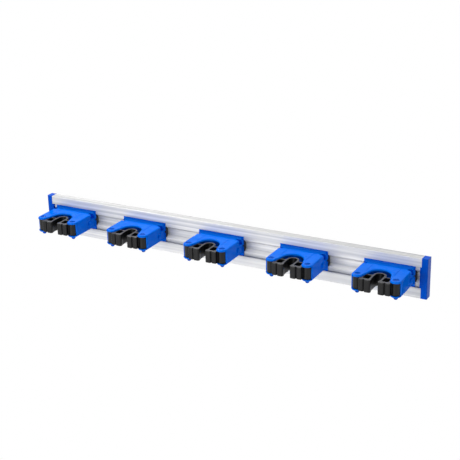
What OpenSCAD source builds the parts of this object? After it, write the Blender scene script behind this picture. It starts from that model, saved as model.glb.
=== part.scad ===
// Wall rack for mops and brooms: an aluminium rail with five sliding holders.
// The origin is on the wall, in the middle of the line of wall screws. X runs
// along the rail, Z is up and the holders stand out towards -Y.

/* [Rail] */
// Length of the rack over its end caps
rack_l = 900; // [820:5:1400]
// Height of the rail
rail_h = 83.5; // [80:0.5:96]
// Depth of the rail from the wall to its front faces
rail_d = 18.5; // [17:0.5:24]
// Height of the upper front flange
upper_h = 18; // [16:0.5:20]
// Height of the lower front flange
lower_h = 21.5; // [19.5:0.5:23.5]
// Thickness of the lips that hold the holders in
lip_t = 2; // [1.6:0.1:2.4]
// Depth of the slot behind the lips, front to back
slot_w = 2.7; // [2.4:0.1:3.2]
// How far the slot runs up and down behind the lips
slot_tuck = 3.5; // [3:0.1:4.5]
// Height of the middle recess where it opens between the ledges
recess_h = 24.8; // [22:0.2:26]
// Depth of the middle recess behind the ledges
recess_d = 6; // [5.4:0.1:6.6]
// Thickness of the web and the ledges
web_t = 2.4; // [2:0.1:3]
// Thickness of the walls round the closed chambers
chamber_t = 1.8; // [1.5:0.1:2.2]
// Width of the fine grooves along the top
groove_w = 1; // [0.6:0.1:1.4]
// Depth of the fine grooves along the top
groove_d = 0.5; // [0.3:0.1:0.8]
// Distance of the fine groove along the front from the rail's upper edge
front_groove = 3.2; // [2.6:0.1:5]

/* [Wall screws] */
// Bore of each screw hole in the web
screw_d = 5.5; // [4.5:0.5:6.5]
// Width of the countersink of each screw hole
screw_head_d = 8.5; // [8:0.5:9]
// Distance between neighbouring screw holes
screw_pitch = 375; // [300:5:385]
// Width of the solid rib behind the channel that carries the screws to the wall
land_w = 10; // [9:0.5:14]

/* [End caps] */
// Length of each end cap along the rail
cap_w = 12.5; // [10:0.5:16]
// How far the cap stands proud of the rail all round
cap_proud = 0.4; // [0:0.1:1]
// Rounding of the cap's upright outer edge
cap_round = 2.5; // [1.5:0.5:4]
// Length of the plugs that grip inside the rail's chambers
plug_l = 16; // [10:1:24]
// Length of the tongue that closes the channel
tongue_l = 3; // [2:0.5:6]
// Thickness of the walls of the plugs
plug_wall = 1.4; // [1:0.1:2]
// Free space between a plug and its chamber
plug_play = 0.1; // [0.05:0.05:0.2]

/* [Holders along the rail] */
// Free space between the first holder and the left cap's tongue
first_gap = 7.2; // [3:0.2:12]
// Free space between the last holder and the right cap's tongue
last_gap = 10.4; // [3:0.2:12]
// How far the second holder is slid from even spacing
nudge_2 = -5; // [-15:1:15]
// How far the third holder is slid from even spacing
nudge_3 = -1; // [-15:1:15]
// How far the fourth holder is slid from even spacing
nudge_4 = 3; // [-15:1:15]

/* [Holder body] */
// Width of the back plate that slides in the rail
plate_w = 105.5; // [104.5:0.5:110]
// Free space between the back plate and the rail
slide_play = 0.3; // [0.2:0.05:0.4]
// Width over the two arms
arm_w = 101.4; // [99:0.2:103]
// Height of the body over its top and bottom plates
body_h = 33.6; // [31:0.2:35]
// Thickness of the top and bottom plates
skin_t = 3.5; // [3.4:0.1:4]
// Thickness of the side walls
side_t = 2; // [1.8:0.1:2.2]
// Rounding along the edges of the body and its cut-out
edge_r = 3.3; // [2:0.1:3.4]
// Radius of the round arm tips
tip_r = 11.5; // [11.4:0.1:12]
// Distance from the wall to the pins
pin_out = 84.5; // [82:0.5:90]
// How far the side walls run past the pins
wall_past = 2; // [1:0.5:4]
// Radius of the round end of the cut-out
cut_r = 22; // [20:0.5:23]
// Distance from the wall to the centre of that round end
cut_out = 69; // [67:0.5:70]
// Radius of the sweep from the top plate up to the back plate
root_r = 12; // [8:0.5:16]
// Distance from the wall to the front of the inner back wall
inner_out = 43; // [42:0.5:45]
// Thickness of the inner back wall
inner_t = 2.5; // [2:0.1:3]

/* [Side lugs and corner pockets] */
// Diameter of the round lug on each side
lug_d = 12; // [9:0.5:13]
// How far the lug stands out of the side wall
lug_l = 3.6; // [1:0.1:4]
// Distance from the wall to the middle of the lug
lug_out = 36; // [33:0.5:38]
// How far the lug lies below the middle of the body
lug_drop = 3; // [1:0.5:5]
// Radius of the quarter-round pocket at each rear corner
corner_r = 13.5; // [11:0.5:14]
// Distance from the wall to the upright front side of the pocket
corner_out = 31.5; // [30.5:0.5:33]
// Height of the pocket's floor above the middle of the body
corner_floor = 5; // [4.5:0.5:7]
// Depth of the pocket into the arm
corner_in = 8.5; // [5:0.5:9]
// Diameter of the small moulded dot behind the cut-out
dot_d = 2.6; // [2:0.2:3.4]
// Radius of the notch in the middle of each end of the back plate
notch_r = 2.4; // [1.5:0.1:2.4]
// Distance of the fine lines on the arms from the middle
line_x = 28.5; // [26.5:0.5:30]
// Width of the fine lines
line_w = 0.7; // [0.4:0.1:1]
// Depth of the fine lines
line_d = 0.4; // [0.2:0.1:0.6]

/* [Pins] */
// Diameter of the pins
pin_d = 8; // [7:0.2:9]
// Diameter of the pin heads
pin_head_d = 10.4; // [10:0.2:12]
// Thickness of the pin heads
pin_head_h = 1.2; // [1:0.1:1.4]
// How far the heads lie below the top of the arms
head_sink = 0.8; // [0.4:0.1:1]
// Gap round each pin head
head_gap = 0.7; // [0.4:0.1:0.8]
// Depth of the dish in each pin head
dish_d = 0.7; // [0.4:0.1:0.9]
// Radius of the ball that shapes the dish
dish_r = 10; // [8:0.5:14]
// Length of the snap end below the body
snap_l = 7; // [6:0.5:9]
// Diameter of the snap end
snap_d = 9.2; // [9:0.1:9.8]
// Width of the slot that lets the snap end spring in
snap_slot = 1; // [0.8:0.1:1.6]
// Running clearance between a pin and what turns on it, on the radius
pin_play = 0.06; // [0.03:0.01:0.1]

/* [Rubber grips] */
// Radius of the eyelet round each pin
eye_r = 9.1; // [8.4:0.1:9.1]
// Free space above and below the rubber
grip_play = 0.3; // [0.2:0.05:0.4]
// Half the mouth between the two noses
mouth_half = 7; // [5.5:0.5:8]
// Half the width inside the pocket
pocket_half = 8.9; // [8.5:0.1:9.4]
// Thickness of the rubber round the pocket
strap_t = 4.5; // [3.8:0.1:5]
// How far the lobes reach behind the pins
lobe_back = 13.5; // [11:0.5:15]
// How far past the pins the pocket starts to narrow
pocket_past = 3.5; // [2:0.5:6]
// Thickness of the rubber behind each hollow
lobe_t = 3.6; // [3:0.1:4.4]
// Thickness of the rubber beside each hollow
cheek_t = 4.4; // [3.8:0.1:5]
// Thickness of the rubber between each hollow and the grooves before it
front_t = 5; // [3.5:0.5:6]
// Rounding inside each hollow
hollow_r = 2.5; // [1.5:0.5:3.5]
// Width of the nose of each lobe
nose_w = 13; // [11:0.5:14]
// Rounding of the nose and the rib beside it
nose_r = 2.2; // [1.5:0.1:2.5]
// Rounding of the nose towards the mouth
mouth_r = 4.5; // [3:0.5:6]
// Distance from the wall to the front of the noses
nose_out = 100.5; // [98:0.5:102]
// Distance from the wall to the back of the rubber pocket
pocket_back = 54.5; // [53:0.5:56]
// How far the second rib lies behind the nose rib
rib_step = 1; // [0.4:0.1:1.6]
// Width of the grooves between the ribs
rib_gap = 1.8; // [1.2:0.1:2.4]
// Depth of the grooves between the ribs
rib_d = 2.6; // [1.6:0.1:3.2]
// Free space between the strap and each jaw
strap_play = 0.3; // [0.2:0.05:0.4]

/* [Slide blocks] */
// How far the slide block runs past the back plate at each side
block_over = 2; // [1:0.5:2]
// Diameter of the studs that hold the block to the body
stud_d = 6; // [4:0.5:7]
// Length of the studs
stud_l = 12; // [8:0.5:16]
// Distance of the studs from the middle
stud_x = 22; // [15:0.5:28]
// Thickness of the sockets round the studs
stud_wall = 2.5; // [2:0.1:3]
// Fit of the studs in their sockets, on the radius
stud_fit = 0.05; // [0.02:0.01:0.1]
// Width of the hollow behind the inner back wall
room_w = 76; // [70:0.5:80]
// Height of that hollow
room_h = 22; // [18:0.5:23]

/* [Hidden] */
$fn = 64;
eps = 0.01;

plastic_blue = "#0b4fd0";
rubber_black = "#1c1c1e";
nylon_black = "#26272a";
aluminium = "#c9ccd2";

// The channel between the lips
channel_top = rail_h / 2 - upper_h;
channel_bottom = -rail_h / 2 + lower_h;
channel_mid = (channel_top + channel_bottom) / 2;
ledge_out = rail_d - lip_t - slot_w;
recess_out = ledge_out - recess_d;
floor_h = recess_h - 2 * recess_d;
slot_top = channel_top + slot_tuck;
slot_bottom = channel_bottom - slot_tuck;

// The caps and the rail between them
rail_l = rack_l - 2 * cap_w;

// The holders' places along the rail
first_x = -rail_l / 2 + tongue_l + first_gap + plate_w / 2;
last_x = rail_l / 2 - tongue_l - last_gap - plate_w / 2;
pitch = (last_x - first_x) / 4;
nudges = [0, nudge_2, nudge_3, nudge_4, 0];
function holder_x(k) = first_x + (k - 1) * pitch + nudges[k - 1];

// The holder body
plate_back = ledge_out + slide_play;
plate_front = rail_d - lip_t - slide_play;
plate_t = plate_front - plate_back;
plate_top = slot_top - slide_play;
plate_bottom = slot_bottom + slide_play;
body_top = channel_mid + body_h / 2;
body_bottom = channel_mid - body_h / 2;
pin_x = arm_w / 2 - tip_r;
side_x = arm_w / 2 - side_t;
// The sweep ends at the lip above the back plate, which cuts it off
root_rise = min(root_r, channel_top - slide_play - body_top);
root_run = sqrt(root_r ^ 2 - (root_r - root_rise) ^ 2);
root_out = plate_front + root_run;
head_floor = body_top - head_sink - pin_head_h;
lug_z = channel_mid - lug_drop;

// The rubber
grip_h = body_h - 2 * skin_t - 2 * grip_play;
grip_bottom = body_bottom + skin_t + grip_play;
lobe_out = pin_out - lobe_back;
strap_end = lobe_out - strap_play;
strap_outer = pocket_half + strap_t;

// Draws its children mirrored, so that they can be measured outwards from the
// wall, and upwards from the middle of the rail
module from_wall() {
  translate([0, 0, -channel_mid]) mirror([0, 1, 0]) children();
}

// Stretches a section, drawn outwards and upwards, along the rail
module along_rail(length) {
  translate([-length / 2, 0, 0]) rotate([90, 0, 90]) linear_extrude(length) children();
}

// A rectangle with round corners from its lowest to its highest corner
module round_rect(low, high, r) {
  translate([low.x + r, low.y]) square([high.x - low.x - 2 * r, high.y - low.y]);
  translate([low.x, low.y + r]) square([high.x - low.x, high.y - low.y - 2 * r]);
  for (x = [low.x + r, high.x - r], y = [low.y + r, high.y - r])
    translate([x, y]) circle(r);
}

// The rail

module flange_chamber(low, high) {
  translate([chamber_t, low]) square([rail_d - chamber_t - lip_t, high - low]);
}

upper_chamber = [slot_top + chamber_t, rail_h / 2 - chamber_t];
lower_chamber = [-rail_h / 2 + chamber_t, slot_bottom - chamber_t];

module channel_section() {
  // Opening between the lips
  translate([rail_d - lip_t, channel_bottom]) square([lip_t + 1, channel_top - channel_bottom]);
  // Slot behind the lips
  translate([ledge_out, slot_bottom]) square([slot_w + eps, slot_top - slot_bottom]);
  // Recess with sloping sides
  translate([0, channel_mid]) polygon([
    [recess_out, -floor_h / 2], [ledge_out + eps, -recess_h / 2],
    [ledge_out + eps, recess_h / 2], [recess_out, floor_h / 2]
  ]);
}

module back_channel_section() {
  back = ledge_out - web_t;
  difference() {
    union() {
      translate([-1, slot_bottom]) square([1 + recess_out - web_t, slot_top - slot_bottom]);
      for (s = [-1, 1]) {
        inner = channel_mid + s * (recess_h / 2 + web_t);
        outer = s > 0 ? slot_top : slot_bottom;
        translate([-1, min(inner, outer)]) square([1 + back, abs(outer - inner)]);
      }
    }
    translate([-2, channel_mid - land_w / 2]) square([rail_d, land_w]);
  }
}

module rail_section() {
  difference() {
    round_rect([0, -rail_h / 2], [rail_d, rail_h / 2], 0.8);
    channel_section();
    back_channel_section();
    flange_chamber(upper_chamber[0], upper_chamber[1]);
    flange_chamber(lower_chamber[0], lower_chamber[1]);
    for (share = [0.14, 0.58, 0.84])
      translate([share * rail_d - groove_w / 2, rail_h / 2 - groove_d]) square([groove_w, 1]);
    translate([rail_d - groove_d, rail_h / 2 - front_groove - groove_w / 2]) square([1, groove_w]);
  }
}

module rail() {
  color(aluminium) from_wall() difference() {
    along_rail(rail_l) rail_section();
    for (n = [-1:1]) translate([n * screw_pitch, 0, channel_mid]) rotate([-90, 0, 0]) {
      translate([0, 0, -1]) cylinder(d = screw_d, h = rail_d + 1);
      translate([0, 0, recess_out - (screw_head_d - screw_d) / 2])
        cylinder(d1 = screw_d, d2 = screw_head_d + 0.2, h = (screw_head_d - screw_d) / 2 + 0.1);
    }
  }
}

// The end caps

module cap_block() {
  high = rail_h / 2 + cap_proud;
  front = rail_d + cap_proud;
  intersection() {
    translate([0, 0, -high]) linear_extrude(2 * high) {
      translate([0, 0]) square([cap_w - cap_round, front]);
      square([cap_w, front - cap_round]);
      translate([cap_w - cap_round, front - cap_round]) circle(cap_round);
    }
    rotate([90, 0, 90]) linear_extrude(cap_w) round_rect([0, -high], [front, high], 1.2);
  }
}

// A hollow plug that grips inside one of the rail's chambers
module chamber_plug(chamber) {
  low = [chamber_t + plug_play, chamber[0] + plug_play];
  size = [rail_d - lip_t - plug_play, chamber[1] - plug_play] - low;
  translate([-plug_l, 0, 0]) rotate([90, 0, 90]) linear_extrude(plug_l + eps) difference() {
    translate(low) square(size);
    translate(low + [plug_wall, plug_wall]) square(size - 2 * [plug_wall, plug_wall]);
  }
}

// Fills the channel's opening, its slots and its recess at the very end
module channel_tongue() {
  play = plug_play;
  translate([-tongue_l, 0, 0]) rotate([90, 0, 90]) linear_extrude(tongue_l + eps) {
    translate([ledge_out + play, channel_bottom + play])
      square([slot_w + lip_t - play, channel_top - channel_bottom - 2 * play]);
    translate([ledge_out + play, slot_bottom + play])
      square([slot_w - 2 * play, slot_top - slot_bottom - 2 * play]);
    translate([0, channel_mid]) polygon([
      [recess_out + play, play - floor_h / 2], [ledge_out + 2 * play, play - recess_h / 2],
      [ledge_out + 2 * play, recess_h / 2 - play], [recess_out + play, floor_h / 2 - play]
    ]);
  }
}

module end_cap() {
  color(plastic_blue) from_wall() translate([rail_l / 2, 0, 0]) {
    cap_block();
    chamber_plug(upper_chamber);
    chamber_plug(lower_chamber);
    channel_tongue();
  }
}

// The holder body

tip = [pin_x, pin_out];
cut_centre = [0, cut_out];
// The flank runs straight from the round end of the cut-out to the arm tip
flank_turn = atan2(pin_out - cut_out, pin_x) - acos((cut_r + tip_r) / norm(tip - cut_centre));
flank_normal = [cos(flank_turn), sin(flank_turn)];
flank_start = cut_centre + cut_r * flank_normal;
flank_end = tip - tip_r * flank_normal;

module each_side() {
  children();
  mirror([1, 0, 0]) children();
}

// Draws its children again upside down, on the underside of the body
module top_and_bottom() {
  children();
  translate([0, 0, 2 * channel_mid]) mirror([0, 0, 1]) children();
}

module cut_out_plan() {
  translate(cut_centre) circle(cut_r);
  polygon([
    [-flank_start.x, flank_start.y], [flank_start.x, flank_start.y], [flank_end.x, flank_end.y],
    [flank_end.x, pin_out + 2 * tip_r], [-flank_end.x, pin_out + 2 * tip_r],
    [-flank_end.x, flank_end.y]
  ]);
}

// What a rounding takes off an edge at the origin, with the material to its right
module edge_round_section() {
  difference() {
    translate([-1, -edge_r]) square([1 + edge_r, edge_r + 1]);
    translate([edge_r, -edge_r]) circle(edge_r);
  }
}

module cut_out() {
  translate([0, 0, body_bottom - 1]) linear_extrude(body_h + 2) cut_out_plan();
  top_and_bottom() {
    translate([0, cut_out, body_top]) rotate_extrude()
      translate([cut_r, 0]) edge_round_section();
    each_side() translate([flank_end.x, flank_end.y, body_top]) rotate([90, 0, flank_turn])
      linear_extrude(norm(flank_end - flank_start)) edge_round_section();
  }
}

// A round arm tip with its edges rounded
module arm_tip() {
  translate([pin_x, pin_out, 0]) rotate_extrude() {
    translate([0, body_bottom]) square([tip_r - edge_r, body_h]);
    translate([0, body_bottom + edge_r]) square([tip_r, body_h - 2 * edge_r]);
    for (z = [body_bottom + edge_r, body_top - edge_r])
      translate([tip_r - edge_r, z]) circle(edge_r);
  }
}

module body_block() {
  translate([0, pin_out, 0]) rotate([90, 0, 0]) linear_extrude(pin_out - plate_back)
    round_rect([-arm_w / 2, body_bottom], [arm_w / 2, body_top], edge_r);
  each_side() {
    arm_tip();
    // Carries the flank of the cut-out on to where it meets the tip
    translate([flank_start.x, flank_start.y, body_bottom])
      cube([pin_x - flank_start.x, flank_end.y - flank_start.y, body_h]);
  }
}

module back_plate() {
  translate([-plate_w / 2, plate_back, plate_bottom])
    cube([plate_w, plate_t, plate_top - plate_bottom]);
}

// The concave roots where the body grows out of its back plate
module roots() {
  translate([-arm_w / 2 + 1, plate_front, body_top]) rotate([90, 0, 90])
    linear_extrude(arm_w - 2) difference() {
      translate([-1, -1]) square([root_run + 1, root_rise + 1]);
      translate([root_run, root_r]) circle(root_r);
    }
  side_root = (plate_w - arm_w) / 2;
  each_side() translate([arm_w / 2, plate_front, body_bottom + edge_r])
    linear_extrude(body_h - 2 * edge_r) difference() {
      translate([-1, -1]) square(side_root + 1);
      translate([side_root, side_root]) circle(side_root);
    }
}

// The space between the arms' plates, open in front
module grip_room() {
  front = pin_out + tip_r + 1;
  translate([0, 0, body_bottom + skin_t]) linear_extrude(body_h - 2 * skin_t) {
    translate([-side_x, inner_out]) square([2 * side_x, pin_out - inner_out]);
    translate([-pin_x, inner_out]) square([2 * pin_x, front - inner_out]);
    each_side() {
      translate(tip) circle(tip_r - side_t);
      translate([pin_x - 1, pin_out + wall_past]) square([tip_r + 2, front - pin_out - wall_past]);
    }
  }
}

// The hollow behind the inner back wall, open towards the rail
module rear_room() {
  back = inner_out - inner_t;
  difference() {
    translate([-room_w / 2, plate_back - 1, channel_mid - room_h / 2])
      cube([room_w, back - plate_back + 1, room_h]);
    each_side() translate([stud_x, 0, channel_mid]) rotate([-90, 0, 0])
      cylinder(d = stud_d + 2 * stud_wall, h = inner_out);
  }
  each_side() translate([stud_x, 0, channel_mid]) rotate([-90, 0, 0])
    cylinder(d = stud_d + 2 * stud_fit, h = plate_back + stud_l + 1);
}

// A quarter-round pocket in the side wall, just before the back plate, which
// also breaks through the arm's upper edge
module corner_pocket() {
  translate([arm_w / 2 - corner_in, corner_out, channel_mid + corner_floor]) rotate([90, 0, 90])
    linear_extrude(corner_in + 1) intersection() {
      circle(corner_r);
      translate([-corner_r, 0]) square(corner_r);
    }
}

// A round lug with a rounded rim
module side_lug() {
  translate([side_x, lug_out, lug_z]) rotate([0, 90, 0]) rotate_extrude() {
    square([lug_d / 2, side_t]);
    square([lug_d / 2 - lug_l, side_t + lug_l]);
    intersection() {
      translate([lug_d / 2 - lug_l, side_t]) circle(lug_l);
      square([lug_d / 2, side_t + lug_l]);
    }
  }
}

module moulded_dot() {
  translate([0, (plate_front + root_out) / 2, body_top - 1]) cylinder(d = dot_d, h = 2.4);
}

module pin_bore() {
  translate([pin_x, pin_out, body_bottom - 1]) cylinder(d = pin_d + 2 * pin_play, h = body_h + 2);
  translate([pin_x, pin_out, head_floor])
    cylinder(d = pin_head_d + 2 * head_gap, h = head_sink + pin_head_h + 1);
}

module plate_notch() {
  translate([plate_w / 2, plate_back - 1, channel_mid]) rotate([-90, 0, 0])
    cylinder(r = notch_r, h = plate_t + 1 + (plate_w - arm_w) / 2);
}

module panel_line() {
  line_out = root_out + 4;
  translate([line_x - line_w / 2, line_out, body_top - line_d])
    cube([line_w, cut_out - line_out, 1]);
}

module holder_body_shape() {
  difference() {
    union() {
      body_block();
      back_plate();
      roots();
      moulded_dot();
      each_side() side_lug();
    }
    cut_out();
    grip_room();
    rear_room();
    each_side() {
      corner_pocket();
      pin_bore();
      plate_notch();
      panel_line();
    }
  }
}

module at_holder(k) {
  from_wall() translate([holder_x(k), 0, 0]) children();
}

module holder_body(k) {
  color(plastic_blue) at_holder(k) holder_body_shape();
}

// The pins

module pin_shape() {
  difference() {
    union() {
      translate([0, 0, head_floor]) cylinder(d = pin_head_d, h = pin_head_h);
      translate([0, 0, body_bottom - 1])
        cylinder(d = pin_d, h = head_floor + pin_head_h / 2 - body_bottom + 1);
      // The snap end, as round as a ball below
      translate([0, 0, body_bottom - snap_l + snap_d / 2]) {
        sphere(d = snap_d);
        cylinder(d = snap_d, h = snap_l - snap_d / 2);
      }
    }
    // The dished top
    translate([0, 0, head_floor + pin_head_h + dish_r - dish_d]) sphere(dish_r);
    // The slot that lets the snap end spring in
    translate([-snap_slot / 2, -snap_d, body_bottom - snap_l - 1])
      cube([snap_slot, 2 * snap_d, snap_l + 1 + skin_t]);
  }
}

module pin(k, side) {
  color(plastic_blue) at_holder(k) translate([side * pin_x, pin_out, 0]) pin_shape();
}

// The rubber grips

rib_root = nose_out - rib_step - rib_d;
nose_end = mouth_half + nose_w;
rib_end = pin_x - eye_r + 2;
// Where the sides of a lobe meet the eyelet
eye_behind = tip + eye_r * [-sin(25), -cos(25)];
eye_before = tip + eye_r * [-cos(52), sin(52)];

module jaw_plan() {
  difference() {
    union() {
      translate(tip) circle(eye_r);
      polygon([
        [pocket_half, lobe_out], [pin_x - eye_r - cheek_t, lobe_out], eye_behind, tip,
        eye_before, [rib_end, rib_root - nose_r], [rib_end, rib_root],
        [mouth_half, rib_root], [pocket_half, pin_out + pocket_past]
      ]);
      round_rect([mouth_half, rib_root - nose_r], [nose_end, nose_out], nose_r);
      round_rect([nose_end + rib_gap, rib_root - nose_r], [rib_end, nose_out - rib_step], nose_r);
    }
    // The round corner of the nose beside the mouth
    translate([mouth_half, nose_out]) difference() {
      translate([-1, -mouth_r]) square(mouth_r + 1);
      translate([mouth_r, -mouth_r]) circle(mouth_r);
    }
    round_rect([pocket_half + cheek_t, lobe_out + lobe_t],
      [pin_x - eye_r - cheek_t, rib_root - front_t], hollow_r);
    translate(tip) circle(d = pin_d + 2 * pin_play);
  }
}

module grip(k, side) {
  color(rubber_black) at_holder(k) mirror([side < 0 ? 1 : 0, 0, 0])
    translate([0, 0, grip_bottom]) linear_extrude(grip_h) jaw_plan();
}

module strap_plan() {
  middle = pocket_back + strap_outer;
  difference() {
    intersection() {
      union() {
        translate([0, middle]) circle(strap_outer);
        translate([-strap_outer, middle]) square([2 * strap_outer, strap_outer]);
      }
      translate([-strap_outer, 0]) square([2 * strap_outer, strap_end]);
    }
    translate([0, middle]) circle(pocket_half);
    translate([-pocket_half, middle]) square([2 * pocket_half, strap_outer]);
  }
}

module grip_strap(k) {
  color(rubber_black) at_holder(k)
    translate([0, 0, grip_bottom]) linear_extrude(grip_h) strap_plan();
}

// The slide blocks

module slide_block(k) {
  back = recess_out + slide_play;
  tuck = slide_play * (sqrt(2) - 1);
  color(nylon_black) at_holder(k) {
    along_rail(plate_w + 2 * block_over) translate([0, channel_mid]) polygon([
      [back, tuck - floor_h / 2], [plate_back, tuck - recess_h / 2],
      [plate_back, recess_h / 2 - tuck], [back, floor_h / 2 - tuck]
    ]);
    each_side() translate([stud_x, plate_back - 1, channel_mid]) rotate([-90, 0, 0])
      cylinder(d = stud_d, h = stud_l + 1);
  }
}

rail();
mirror([1, 0, 0]) end_cap();  // end_cap_left
end_cap();  // end_cap_right
holder_body(1);  // holder_body_1
holder_body(2);  // holder_body_2
holder_body(3);  // holder_body_3
holder_body(4);  // holder_body_4
holder_body(5);  // holder_body_5
pin(1, -1);  // pin_left_1
pin(2, -1);  // pin_left_2
pin(3, -1);  // pin_left_3
pin(4, -1);  // pin_left_4
pin(5, -1);  // pin_left_5
pin(1, 1);  // pin_right_1
pin(2, 1);  // pin_right_2
pin(3, 1);  // pin_right_3
pin(4, 1);  // pin_right_4
pin(5, 1);  // pin_right_5
grip(1, -1);  // grip_left_1
grip(2, -1);  // grip_left_2
grip(3, -1);  // grip_left_3
grip(4, -1);  // grip_left_4
grip(5, -1);  // grip_left_5
grip(1, 1);  // grip_right_1
grip(2, 1);  // grip_right_2
grip(3, 1);  // grip_right_3
grip(4, 1);  // grip_right_4
grip(5, 1);  // grip_right_5
grip_strap(1);  // grip_strap_1
grip_strap(2);  // grip_strap_2
grip_strap(3);  // grip_strap_3
grip_strap(4);  // grip_strap_4
grip_strap(5);  // grip_strap_5
slide_block(1);  // slide_block_1
slide_block(2);  // slide_block_2
slide_block(3);  // slide_block_3
slide_block(4);  // slide_block_4
slide_block(5);  // slide_block_5
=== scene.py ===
import math

import bpy
from mathutils import Matrix, Vector


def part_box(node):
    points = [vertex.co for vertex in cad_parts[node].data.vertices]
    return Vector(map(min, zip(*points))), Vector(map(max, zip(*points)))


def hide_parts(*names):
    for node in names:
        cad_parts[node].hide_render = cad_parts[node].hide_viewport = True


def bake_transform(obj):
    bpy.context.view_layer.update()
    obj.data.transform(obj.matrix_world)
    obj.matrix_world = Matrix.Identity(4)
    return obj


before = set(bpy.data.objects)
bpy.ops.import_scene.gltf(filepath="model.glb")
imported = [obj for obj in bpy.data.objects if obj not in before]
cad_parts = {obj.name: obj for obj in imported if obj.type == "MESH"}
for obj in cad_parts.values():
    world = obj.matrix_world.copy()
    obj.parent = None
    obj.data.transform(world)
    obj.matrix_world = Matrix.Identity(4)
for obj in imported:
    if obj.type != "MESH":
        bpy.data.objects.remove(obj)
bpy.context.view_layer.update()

MM = 0.001
HOLDERS = range(1, 6)
SIDES = ("left", "right")


# The rubber grips
# Sizes in millimetres, measured from the middle of a holder: x across it, and
# y out from the wall as a negative number. They repeat the CAD's rubber.
GRIP_LOW, GRIP_HIGH = -13.0, 13.0
PIN = (39.2, -84.5)
BORE_R = 4.06
EYE_R = 9.1
# The angles about the pin where the eyelet's wall leaves the lobe, in degrees
EYE_START, EYE_END = 115, -142
POCKET = (0.0, -67.9)
POCKET_IN_R = 8.9
POCKET_OUT_R = 13.4
POCKET_FRONT = -88.0
LOBE_BACK = -71.0
HOLLOW_LEFT, HOLLOW_RIGHT = 13.3, 25.7
HOLLOW_BACK, HOLLOW_FRONT = -74.6, -91.9
HOLLOW_R = 2.5
NOSE_LEFT, NOSE_RIGHT, NOSE_FRONT = 7.0, 20.0, -100.5
RIB_LEFT, RIB_RIGHT, RIB_FRONT = 21.8, 32.1, -99.5
GROOVE_BACK = -96.9
RIB_R = 2.2
MOUTH_R = 4.5
# The angle where the mouth's rounding runs into the pocket's side
MOUTH_END = -172
SEAM_OVERLAP = 1.5
CUT_PAST = 2
# The rubber's mesh: its spacing, the passes that soften its edges, the share of faces kept
MESH_STEP = 0.55
SOFTENING = 4
FACES_KEPT = 0.3


def select_only(thing):
    bpy.ops.object.select_all(action="DESELECT")
    thing.select_set(True)
    bpy.context.view_layer.objects.active = thing


def arc(centre, radius, first, last, steps):
    """Points on an arc between two angles in degrees, both ends included."""
    angles = [math.radians(first + (last - first) * i / steps) for i in range(steps + 1)]
    return [(centre[0] + radius * math.cos(a), centre[1] + radius * math.sin(a)) for a in angles]


def prism(name, outline, low, high):
    """A circle pulled to an outline, filled, and extruded upwards. All in millimetres."""
    bpy.ops.object.select_all(action="DESELECT")
    bpy.ops.mesh.primitive_circle_add(vertices=len(outline), radius=MM, fill_type="NGON")
    piece = bpy.context.object
    piece.name = name
    for vertex, (x, y) in zip(piece.data.vertices, outline):
        vertex.co = Vector((x, y, low)) * MM
    bpy.ops.object.mode_set(mode="EDIT")
    bpy.ops.mesh.select_all(action="SELECT")
    bpy.ops.mesh.extrude_region_move(
        TRANSFORM_OT_translate={"value": (0, 0, (high - low) * MM)})
    bpy.ops.mesh.select_all(action="SELECT")
    bpy.ops.mesh.normals_make_consistent(inside=False)
    bpy.ops.object.mode_set(mode="OBJECT")
    return piece


def cut_away(piece, tool):
    modifier = piece.modifiers.new("cut", "BOOLEAN")
    modifier.operation = "DIFFERENCE"
    modifier.solver = "EXACT"
    modifier.object = tool
    select_only(piece)
    bpy.ops.object.modifier_apply(modifier=modifier.name)
    bpy.data.objects.remove(tool)


def soften(piece):
    """Gives a hard-edged solid the even mesh and the soft edges of rubber."""
    select_only(piece)
    remesh = piece.modifiers.new("even_mesh", "REMESH")
    remesh.mode = "VOXEL"
    remesh.voxel_size = MESH_STEP * MM
    bpy.ops.object.modifier_apply(modifier=remesh.name)
    smooth = piece.modifiers.new("soft_edges", "SMOOTH")
    smooth.factor = 0.5
    smooth.iterations = SOFTENING
    bpy.ops.object.modifier_apply(modifier=smooth.name)
    fewer = piece.modifiers.new("fewer_faces", "DECIMATE")
    fewer.ratio = FACES_KEPT
    bpy.ops.object.modifier_apply(modifier=fewer.name)
    bpy.ops.object.shade_smooth()


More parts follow.
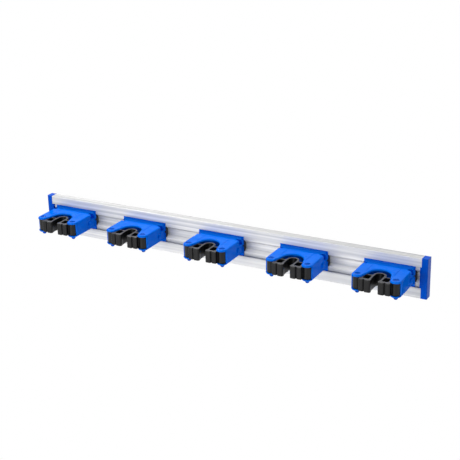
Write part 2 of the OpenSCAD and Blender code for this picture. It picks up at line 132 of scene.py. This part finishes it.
def half_grip():
    """The right half of one rubber grip: half the pocket, a hollow lobe and the eyelet."""
    pocket_outside = (
        [(-SEAM_OVERLAP, POCKET[1] + POCKET_OUT_R)]
        + arc(POCKET, POCKET_OUT_R, 90, 0, steps=14)
        + [(POCKET_OUT_R, LOBE_BACK), (HOLLOW_RIGHT, LOBE_BACK)]
    )
    eyelet = arc(PIN, EYE_R, EYE_START, EYE_END, steps=40)
    rib = (
        [(RIB_RIGHT, GROOVE_BACK + RIB_R)]
        + arc((RIB_RIGHT - RIB_R, RIB_FRONT + RIB_R), RIB_R, 0, -90, steps=5)
        + arc((RIB_LEFT + RIB_R, RIB_FRONT + RIB_R), RIB_R, -90, -180, steps=5)
        + [(RIB_LEFT, GROOVE_BACK)]
    )
    nose = (
        [(NOSE_RIGHT, GROOVE_BACK)]
        + arc((NOSE_RIGHT - RIB_R, NOSE_FRONT + RIB_R), RIB_R, 0, -90, steps=5)
        + arc((NOSE_LEFT + MOUTH_R, NOSE_FRONT + MOUTH_R), MOUTH_R, -90, MOUTH_END, steps=8)
    )
    pocket_inside = (
        [(POCKET_IN_R, POCKET_FRONT)]
        + arc(POCKET, POCKET_IN_R, 0, 90, steps=12)
        + [(-SEAM_OVERLAP, POCKET[1] + POCKET_IN_R)]
    )
    half = prism("half_grip", pocket_outside + eyelet + rib + nose + pocket_inside,
                 GRIP_LOW, GRIP_HIGH)

    west, east = HOLLOW_LEFT + HOLLOW_R, HOLLOW_RIGHT - HOLLOW_R
    north, south = HOLLOW_BACK - HOLLOW_R, HOLLOW_FRONT + HOLLOW_R
    hollow = (
        arc((west, north), HOLLOW_R, 180, 90, steps=4)
        + arc((east, north), HOLLOW_R, 90, 0, steps=4)
        + arc((east, south), HOLLOW_R, 0, -90, steps=4)
        + arc((west, south), HOLLOW_R, -90, -180, steps=4)
    )
    # A ring of 24 points: the last one stops a step before the first
    bore = arc(PIN, BORE_R, 0, 345, steps=23)
    cut_away(half, prism("hollow", hollow, GRIP_LOW - CUT_PAST, GRIP_HIGH + CUT_PAST))
    cut_away(half, prism("bore", bore, GRIP_LOW - CUT_PAST, GRIP_HIGH + CUT_PAST))
    soften(half)
    return half


def place_grips():
    """Ten copies of the half, each moved to the middle of its holder and mirrored for the left
    side.
    """
    master = half_grip()
    grips = []
    for k in HOLDERS:
        low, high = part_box("holder_body_%d" % k)
        middle = (low.x + high.x) / 2
        for side in SIDES:
            piece = master.copy()
            piece.data = master.data.copy()
            piece.name = "rubber_grip_%s_%d" % (side, k)
            bpy.context.collection.objects.link(piece)
            hand = 1 if side == "right" else -1
            handed = Matrix.Diagonal((hand, 1, 1, 1))
            piece.data.transform(Matrix.Translation((middle, 0, 0)) @ handed)
            if hand < 0:
                piece.data.flip_normals()
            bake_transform(piece)
            if side == "left":
                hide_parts("grip_left_%d" % k, "grip_strap_%d" % k)
            else:
                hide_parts("grip_right_%d" % k)
            grips.append(piece)
    bpy.data.objects.remove(master)
    return grips


# Materials

# The sockets of a Mix node that carry its two colours and their mixture
FIRST, SECOND, MIXED = 6, 7, 2
ALONG_RAIL, ALONG_GRIP = 0, 2


def colour(code):
    """An sRGB hex colour as the linear values the shader takes."""
    parts = [int(code[i:i + 2], 16) / 255 for i in (1, 3, 5)]
    return [p / 12.92 if p <= 0.04045 else ((p + 0.055) / 1.055) ** 2.4 for p in parts] + [1.0]


def add(tree, kind, settings=None, links=None):
    """Adds a node: settings by attribute or by input, links from (node, output) to an input."""
    made = tree.nodes.new(kind)
    for key, value in (settings or {}).items():
        if isinstance(key, str) and hasattr(made, key):
            setattr(made, key, value)
        else:
            made.inputs[key].default_value = value
    for key, (source, output) in (links or {}).items():
        tree.links.new(source.outputs[output], made.inputs[key])
    return made


def new_material(name):
    material = bpy.data.materials.new(name)
    material.use_nodes = True
    tree = material.node_tree
    tree.nodes.clear()
    return material, tree


def per_metre(millimetres):
    """The texture scale at which one patch of a pattern is this wide."""
    return 1000 / millimetres


def drawn_out(across, along, axis):
    """The scale of a pattern pulled out along one axis, both sizes in millimetres."""
    scale = [per_metre(across)] * 3
    scale[axis] = per_metre(along)
    return scale


def moulded_blue(name, deep, bright):
    """A glossy plastic, injection moulded: deep blue with a soft sheen, barely uneven
    where the walls shrank over their ribs, and with slightly rounded edges."""
    material, tree = new_material(name)
    where = add(tree, "ShaderNodeTexCoord")
    # Shrink marks as wide as the space between two ribs
    shrink = add(tree, "ShaderNodeTexNoise", {"Scale": per_metre(28), "Detail": 3.0},
                 {"Vector": (where, "Object")})
    # The mould's spark-eroded grain is about 0.1 mm; it is drawn at 0.7 mm to show at all
    grain = add(tree, "ShaderNodeTexNoise", {"Scale": per_metre(0.7), "Detail": 2.0},
                {"Vector": (where, "Object")})
    tone = add(tree, "ShaderNodeMix",
               {"data_type": "RGBA", FIRST: colour(deep), SECOND: colour(bright)},
               {"Factor": (shrink, "Fac")})
    gloss = add(tree, "ShaderNodeMapRange", {"To Min": 0.1, "To Max": 0.16},
                {"Value": (shrink, "Fac")})
    soft = add(tree, "ShaderNodeBevel", {"samples": 4, "Radius": 0.5 * MM})
    bump = add(tree, "ShaderNodeBump", {"Strength": 0.08, "Distance": 0.1 * MM},
               {"Height": (grain, "Fac"), "Normal": (soft, "Normal")})
    # It reflects little, because the white room would wash out so deep a blue
    shader = add(tree, "ShaderNodeBsdfPrincipled", {"IOR": 1.49, "Specular IOR Level": 0.04},
                 {"Base Color": (tone, MIXED), "Roughness": (gloss, "Result"),
                  "Normal": (bump, "Normal")})
    add(tree, "ShaderNodeOutputMaterial", links={"Surface": (shader, "BSDF")})
    return material


def anodised_aluminium():
    """Extruded and clear anodised: a satin metal with die lines that run the whole
    length and make long soft streaks, bluish where the film is thicker."""
    material, tree = new_material("clear_anodised_aluminium")
    where = add(tree, "ShaderNodeTexCoord")
    # Bands as wide as a step of the die, and a rail long
    band_place = add(tree, "ShaderNodeMapping", {"Scale": drawn_out(9, 850, ALONG_RAIL)},
                     {"Vector": (where, "Object")})
    bands = add(tree, "ShaderNodeTexNoise", {"Scale": 1.0, "Detail": 2.0},
                {"Vector": (band_place, "Vector")})
    # Die lines are 0.1 to 0.3 mm wide; they are drawn at 1.1 mm to show
    line_place = add(tree, "ShaderNodeMapping", {"Scale": drawn_out(1.1, 160, ALONG_RAIL)},
                     {"Vector": (where, "Object")})
    lines = add(tree, "ShaderNodeTexNoise", {"Scale": 1.0, "Detail": 3.0},
                {"Vector": (line_place, "Vector")})
    spread = add(tree, "ShaderNodeMapRange", {"From Min": 0.34, "From Max": 0.66},
                 {"Value": (bands, "Fac")})
    tone = add(tree, "ShaderNodeMix",
               {"data_type": "RGBA", FIRST: colour("#B6B8BC"), SECOND: colour("#E2E1DF")},
               {"Factor": (spread, "Result")})
    gloss = add(tree, "ShaderNodeMapRange", {"To Min": 0.5, "To Max": 0.62},
                {"Value": (lines, "Fac")})
    bump = add(tree, "ShaderNodeBump", {"Strength": 0.12, "Distance": 0.1 * MM},
               {"Height": (lines, "Fac")})
    # Less than a bare metal's 1, because the oxide film scatters part of the light
    shader = add(tree, "ShaderNodeBsdfPrincipled", {"Metallic": 0.6},
                 {"Base Color": (tone, MIXED), "Roughness": (gloss, "Result"),
                  "Normal": (bump, "Normal")})
    add(tree, "ShaderNodeOutputMaterial", links={"Surface": (shader, "BSDF")})
    return material


def extruded_rubber():
    """EPDM rubber, extruded and cut to length: black with the sheen of its skin, faint lines
    down its length, a little bloom, and dull grey where the saw cut its ends, made lighter there
    as painted light for the lit tops."""
    material, tree = new_material("extruded_black_rubber")
    where = add(tree, "ShaderNodeTexCoord")
    # Lines of the die, 1.4 mm apart, and patches of bloom 11 mm wide
    line_place = add(tree, "ShaderNodeMapping", {"Scale": drawn_out(1.4, 80, ALONG_GRIP)},
                     {"Vector": (where, "Object")})
    lines = add(tree, "ShaderNodeTexNoise", {"Scale": 1.0, "Detail": 2.0},
                {"Vector": (line_place, "Vector")})
    bloom = add(tree, "ShaderNodeTexNoise", {"Scale": per_metre(11), "Detail": 4.0},
                {"Vector": (where, "Object")})
    skin = add(tree, "ShaderNodeMix",
               {"data_type": "RGBA", FIRST: colour("#08080A"), SECOND: colour("#131315")},
               {"Factor": (bloom, "Fac")})
    # The cut ends are the faces that look up or down. Their grey is partly the dull sawn rubber
    # and partly painted light, lighter than sawn rubber alone, to match the tops lit from above
    facing = add(tree, "ShaderNodeSeparateXYZ", links={"Vector": (where, "Normal")})
    upright = add(tree, "ShaderNodeMath", {"operation": "ABSOLUTE"}, {0: (facing, "Z")})
    cut = add(tree, "ShaderNodeMapRange", {"From Min": 0.8, "From Max": 0.98},
              {"Value": (upright, 0)})
    tone = add(tree, "ShaderNodeMix", {"data_type": "RGBA", SECOND: colour("#424246")},
               {"Factor": (cut, "Result"), FIRST: (skin, MIXED)})
    bump = add(tree, "ShaderNodeBump", {"Strength": 0.15, "Distance": 0.1 * MM},
               {"Height": (lines, "Fac")})
    gloss = add(tree, "ShaderNodeMapRange", {"To Min": 0.26, "To Max": 0.4},
                {"Value": (bloom, "Fac")})
    shader = add(tree, "ShaderNodeBsdfPrincipled", {"IOR": 1.5, "Specular IOR Level": 0.3},
                 {"Base Color": (tone, MIXED), "Roughness": (gloss, "Result"),
                  "Normal": (bump, "Normal")})
    add(tree, "ShaderNodeOutputMaterial", links={"Surface": (shader, "BSDF")})
    return material


def black_nylon():
    """Moulded nylon, black and matt, slightly rough from sliding."""
    material, tree = new_material("moulded_black_nylon")
    where = add(tree, "ShaderNodeTexCoord")
    # Scuffs of about 1 mm
    grain = add(tree, "ShaderNodeTexNoise", {"Scale": per_metre(1.1), "Detail": 3.0},
                {"Vector": (where, "Object")})
    tone = add(tree, "ShaderNodeMix",
               {"data_type": "RGBA", FIRST: colour("#141416"), SECOND: colour("#222225")},
               {"Factor": (grain, "Fac")})
    bump = add(tree, "ShaderNodeBump", {"Strength": 0.2, "Distance": 0.1 * MM},
               {"Height": (grain, "Fac")})
    shader = add(tree, "ShaderNodeBsdfPrincipled", {"IOR": 1.53, "Roughness": 0.55},
                 {"Base Color": (tone, MIXED), "Normal": (bump, "Normal")})
    add(tree, "ShaderNodeOutputMaterial", links={"Surface": (shader, "BSDF")})
    return material


def dress(thing, material):
    if not thing.material_slots:
        thing.data.materials.append(material)
    for slot in thing.material_slots:
        slot.material = material


def finish_materials(grips):
    rubber = extruded_rubber()
    finishes = {
        "rail": anodised_aluminium(),
        # Polypropylene lets a little light in, so the holder bodies look bright blue
        "holder_body": moulded_blue("moulded_blue_polypropylene", "#0065E2", "#0076F2"),
        # The caps are ABS in a deeper copy of the same blue: painted shade, for the shade that
        # lies on their front faces
        "end_cap": moulded_blue("moulded_blue_painted_shade_caps", "#0050C6", "#005AD4"),
        # The pins are acetal in a deeper blue: partly their own moulding, partly painted shade
        # for the shade on their heads, so that the heads stand out
        "pin": moulded_blue("moulded_blue_acetal_with_painted_shade", "#0050BC", "#0058C8"),
        "slide_block": black_nylon(),
        "grip": rubber,
    }
    for name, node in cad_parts.items():
        for kind, material in finishes.items():
            if name.startswith(kind):
                dress(node, material)
    for piece in grips:
        piece.data.materials.clear()
        dress(piece, rubber)


# The studio, in metres and watts

FLOOR_Z = -0.55
FLOOR_SIZE = 14
RACK_MIDDLE = (0, -0.03, 0)
SOFTBOXES = (
    # Name, place, width and power
    ("rim_softbox", (-1.6, 0.6, 1.9), 0.25, 18),
    ("top_softbox", (-0.5, 0.7, 2.3), 2.2, 56),
    ("overhead_softbox", (-0.6, -0.9, 2.2), 0.8, 8),
    ("front_softbox", (-0.7, -2.4, 0.1), 1.0, 25),
    ("side_softbox", (2.4, -0.9, 0.5), 1.2, 12),
)
WHITE = (1, 1, 1, 1)
DIM_DAYLIGHT = (0.9, 0.94, 1.0, 1)

CAMERA_PLACE = (1.05767, -1.91749, 0.86321)
CAMERA_TARGET = (0.03752, -0.05, 0.04555)
# How far the camera leans to its right, in degrees
CAMERA_LEAN = 1.3663
# In millimetres
LENS, SENSOR = 87.05, 36


def seen_rays(tree):
    """One for the rays by which the background is seen, straight or in a reflection."""
    path = add(tree, "ShaderNodeLightPath")
    clear = add(tree, "ShaderNodeMath", {"operation": "MAXIMUM"},
                {0: (path, "Is Camera Ray"), 1: (path, "Is Transmission Ray")})
    return add(tree, "ShaderNodeMath", {"operation": "MAXIMUM"},
               {0: (clear, 0), 1: (path, "Is Glossy Ray")})


def studio():
    """A pale floor and a dim room that both look white, lit by five softboxes."""
    material, tree = new_material("pale_studio_floor")
    card = add(tree, "ShaderNodeBsdfDiffuse", {"Color": colour("#F4F4F4")})
    white = add(tree, "ShaderNodeEmission", {"Color": WHITE, "Strength": 1.0})
    mix = add(tree, "ShaderNodeMixShader",
              links={0: (seen_rays(tree), 0), 1: (card, 0), 2: (white, 0)})
    add(tree, "ShaderNodeOutputMaterial", links={"Surface": (mix, 0)})
    bpy.ops.object.select_all(action="DESELECT")
    bpy.ops.mesh.primitive_plane_add(size=FLOOR_SIZE, location=(0, 0, FLOOR_Z))
    floor = bpy.context.object
    floor.name = "floor"
    dress(floor, material)

    world = bpy.data.worlds.new("soft_studio")
    bpy.context.scene.world = world
    world.use_nodes = True
    tree = world.node_tree
    tree.nodes.clear()
    dim = add(tree, "ShaderNodeBackground", {"Color": DIM_DAYLIGHT, "Strength": 0.1})
    white = add(tree, "ShaderNodeBackground", {"Color": WHITE, "Strength": 1.0})
    mix = add(tree, "ShaderNodeMixShader",
              links={0: (seen_rays(tree), 0), 1: (dim, 0), 2: (white, 0)})
    add(tree, "ShaderNodeOutputWorld", links={"Surface": (mix, 0)})

    for name, place, width, watts in SOFTBOXES:
        softbox(name, place, width, watts)
    # Seen in the metal, it would burn out the top of the rail
    bpy.data.objects["top_softbox"].visible_glossy = False


def sight(place, target):
    """The turn that points a lamp or a camera from a place at a target, held upright."""
    return (Vector(target) - Vector(place)).to_track_quat("-Z", "Y")


def softbox(name, place, width, watts):
    bpy.ops.object.light_add(type="AREA", location=place)
    lamp = bpy.context.object
    lamp.name = name
    lamp.data.shape = "SQUARE"
    lamp.data.size = width
    lamp.data.energy = watts
    lamp.rotation_euler = sight(place, RACK_MIDDLE).to_euler()


def camera():
    """The photograph's viewing angle: from the right and above, through a long lens."""
    bpy.ops.object.camera_add()
    view = bpy.context.object
    view.name = "photo_camera"
    turn = sight(CAMERA_PLACE, CAMERA_TARGET).to_matrix().to_4x4()
    lean = Matrix.Rotation(math.radians(-CAMERA_LEAN), 4, "Z")
    view.matrix_world = Matrix.Translation(CAMERA_PLACE) @ turn @ lean
    view.data.lens = LENS
    view.data.sensor_width = SENSOR
    view.data.clip_end = 50
    bpy.context.scene.camera = view


finish_materials(place_grips())
studio()
camera()
bpy.context.scene.view_settings.view_transform = "Standard"
